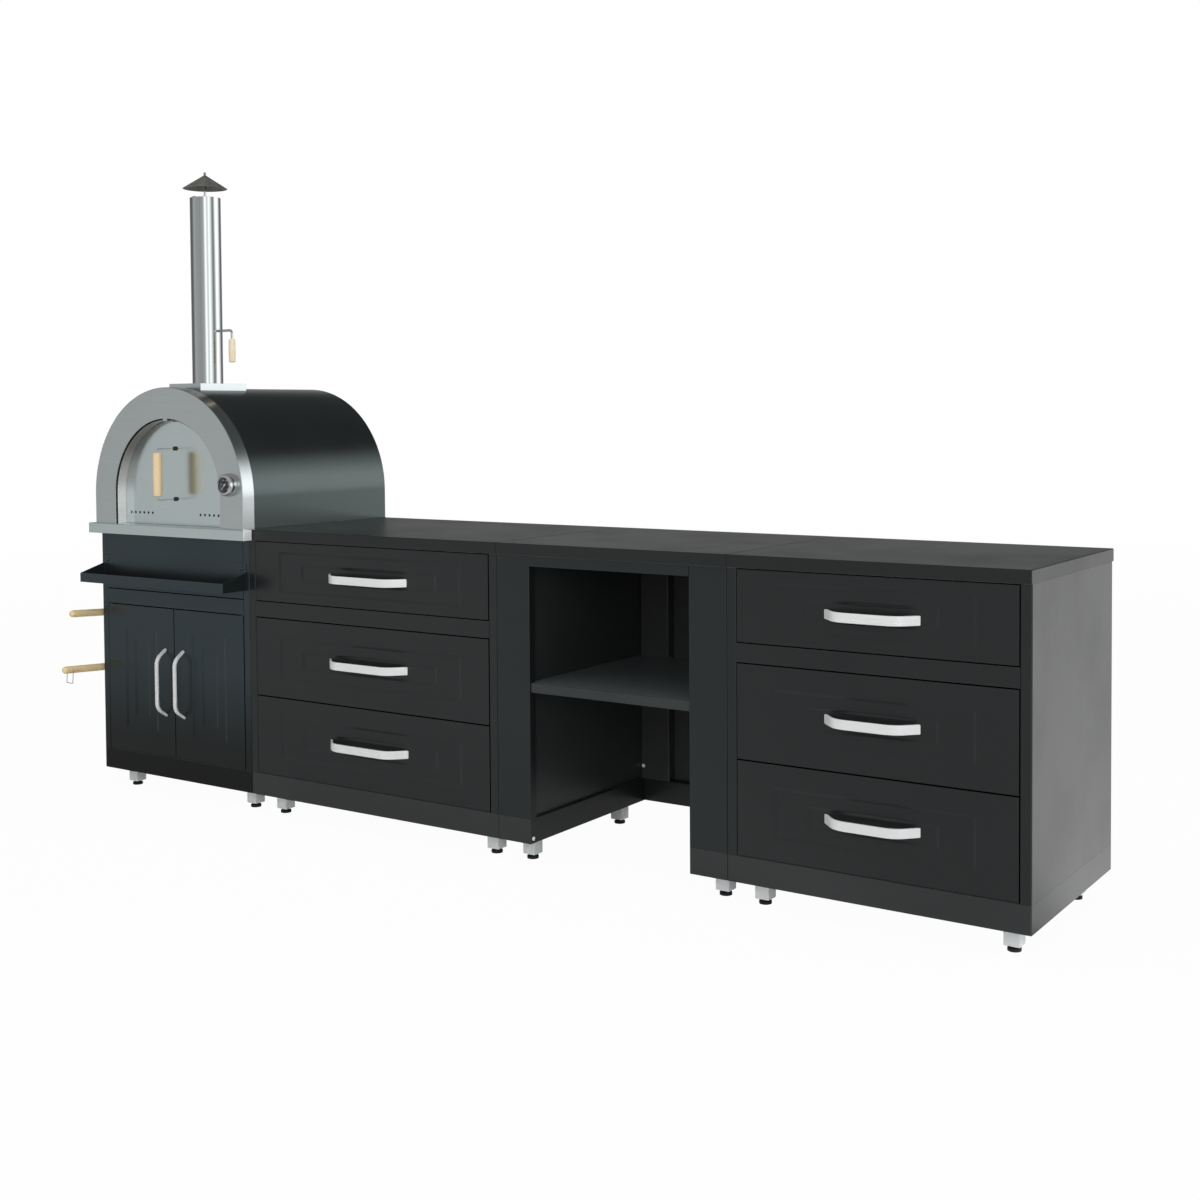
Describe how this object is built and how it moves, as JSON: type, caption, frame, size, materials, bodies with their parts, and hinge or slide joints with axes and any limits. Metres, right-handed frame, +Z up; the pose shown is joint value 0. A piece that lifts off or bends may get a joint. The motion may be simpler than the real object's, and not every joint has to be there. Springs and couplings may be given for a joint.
{
  "type": "outdoor kitchen",
  "caption": "Modular outdoor kitchen: steel cabinets with drawers, an open bay, dark worktops and an arched wood-fired oven with a chimney, door, thermometer and hanging tools.",
  "frame": {"origin": "on the floor, in the middle of the object's outline", "axes": "+X to the right along the row as seen from the front, +Y towards the back, +Z up"},
  "size_m": [3.2466, 0.7907, 2.0625],
  "materials": {
    "cabinet_coat": "satin black powder coat",
    "worktop_coat": "satin black powder coat",
    "oven_coat": "satin black heat-proof coat",
    "stainless": "brushed stainless steel",
    "handle_steel": "satin steel",
    "leg_metal": "satin anodised",
    "foot_plastic": "matte black",
    "beech": "turned and oiled",
    "cap_steel": "dull dark grey",
    "drawer_steel": "satin grey",
    "runner_steel": "zinc plated",
    "firebox_steel": "heat-tinted steel",
    "hearth_stone": "fired clay",
    "blanket": "fibre blanket",
    "gauge_chrome": "polished",
    "gauge_glass": "clear",
    "needle_paint": "matte pale",
    "tool_steel": "rolled"
  },
  "bodies": {
    "kitchen": {"bay_back": "cabinet_coat", "bay_frame": "cabinet_coat", "bay_shelf": "cabinet_coat", "bay_worktop": "worktop_coat", "chimney_cap": "cap_steel", "chimney_pipe": "stainless", "drawer_runners": "runner_steel", "flue_base": "stainless", "hearth_stones": "hearth_stone", "left_unit_carcass": "cabinet_coat", "left_worktop": "worktop_coat", "legs": "leg_metal", "levelling_feet": "foot_plastic", "oven_base": "stainless", "oven_firebox": "firebox_steel", "oven_front_arch": "stainless", "oven_insulation": "blanket", "oven_outer_shell": "oven_coat", "oven_unit_carcass": "cabinet_coat", "pins_and_screws": "runner_steel", "plinth_skirts": "cabinet_coat", "right_unit_carcass": "cabinet_coat", "right_worktop": "worktop_coat", "thermometer_case": "gauge_chrome", "thermometer_lens": "gauge_glass", "tool_hooks": "runner_steel", "utensil_tray": "cabinet_coat"},
    "left_drawer_top": {"left_drawer_top_front": "cabinet_coat", "left_drawer_top_box": "drawer_steel", "left_drawer_top_handle": "handle_steel"},
    "left_drawer_middle": {"left_drawer_middle_front": "cabinet_coat", "left_drawer_middle_box": "drawer_steel", "left_drawer_middle_handle": "handle_steel"},
    "left_drawer_bottom": {"left_drawer_bottom_front": "cabinet_coat", "left_drawer_bottom_box": "drawer_steel", "left_drawer_bottom_handle": "handle_steel"},
    "right_drawer_top": {"right_drawer_top_front": "cabinet_coat", "right_drawer_top_box": "drawer_steel", "right_drawer_top_handle": "handle_steel"},
    "right_drawer_middle": {"right_drawer_middle_front": "cabinet_coat", "right_drawer_middle_box": "drawer_steel", "right_drawer_middle_handle": "handle_steel"},
    "right_drawer_bottom": {"right_drawer_bottom_front": "cabinet_coat", "right_drawer_bottom_box": "drawer_steel", "right_drawer_bottom_handle": "handle_steel"},
    "left_door": {"left_cabinet_door": "cabinet_coat", "left_door_handle": "handle_steel"},
    "right_door": {"right_cabinet_door": "cabinet_coat", "right_door_handle": "handle_steel"},
    "mouth_door": {"oven_door": "stainless", "oven_door_bail": "stainless", "oven_door_grip": "beech"},
    "flue_damper": {"damper": "stainless", "damper_grip": "beech"},
    "gauge_needle": {"thermometer_needle": "needle_paint"},
    "peel": {"peel_handle": "beech", "peel_blade": "tool_steel"},
    "scraper": {"scraper_handle": "beech", "scraper_blade": "tool_steel"},
    "hanging_loop": {"scraper_loop": "tool_steel"}
  },
  "joints": [
    {"name": "left_drawer_top_slide", "type": "slide", "parent": "kitchen", "child": "left_drawer_top", "axis": [0, -1, 0], "range_m": [0, 0.45]},
    {"name": "left_drawer_middle_slide", "type": "slide", "parent": "kitchen", "child": "left_drawer_middle", "axis": [0, -1, 0], "range_m": [0, 0.45]},
    {"name": "left_drawer_bottom_slide", "type": "slide", "parent": "kitchen", "child": "left_drawer_bottom", "axis": [0, -1, 0], "range_m": [0, 0.45]},
    {"name": "right_drawer_top_slide", "type": "slide", "parent": "kitchen", "child": "right_drawer_top", "axis": [0, -1, 0], "range_m": [0, 0.45]},
    {"name": "right_drawer_middle_slide", "type": "slide", "parent": "kitchen", "child": "right_drawer_middle", "axis": [0, -1, 0], "range_m": [0, 0.45]},
    {"name": "right_drawer_bottom_slide", "type": "slide", "parent": "kitchen", "child": "right_drawer_bottom", "axis": [0, -1, 0], "range_m": [0, 0.45]},
    {"name": "left_door_hinge", "type": "hinge", "parent": "kitchen", "child": "left_door", "pos_m": [-1.53975, -0.24413, 0.138], "axis": [0, 0, -1], "range_deg": [0, 90]},
    {"name": "right_door_hinge", "type": "hinge", "parent": "kitchen", "child": "right_door", "pos_m": [-0.91275, -0.24413, 0.138], "axis": [0, 0, 1], "range_deg": [0, 90]},
    {"name": "mouth_door_pull", "type": "slide", "parent": "kitchen", "child": "mouth_door", "axis": [0, -1, 0], "range_m": [0, 0.15]},
    {"name": "flue_damper_turn", "type": "hinge", "parent": "kitchen", "child": "flue_damper", "pos_m": [-1.22625, -0.08762, 1.5365], "axis": [-1, 0, 0], "range_deg": [0, 90]},
    {"name": "gauge_needle_sweep", "type": "hinge", "parent": "kitchen", "child": "gauge_needle", "pos_m": [-0.93175, -0.29363, 1.039], "axis": [0, 1, 0], "range_deg": [0, 270]},
    {"name": "peel_lift", "type": "slide", "parent": "kitchen", "child": "peel", "axis": [0, 0, 1], "range_m": [0, 0.04]},
    {"name": "scraper_lift", "type": "slide", "parent": "kitchen", "child": "scraper", "axis": [0, 0, 1], "range_m": [0, 0.04]},
    {"name": "hanging_loop_swing", "type": "hinge", "parent": "scraper", "child": "hanging_loop", "pos_m": [-1.60675, -0.36541, 0.41108], "axis": [1, 0, 0], "range_deg": [-60, 60]}
  ]
}
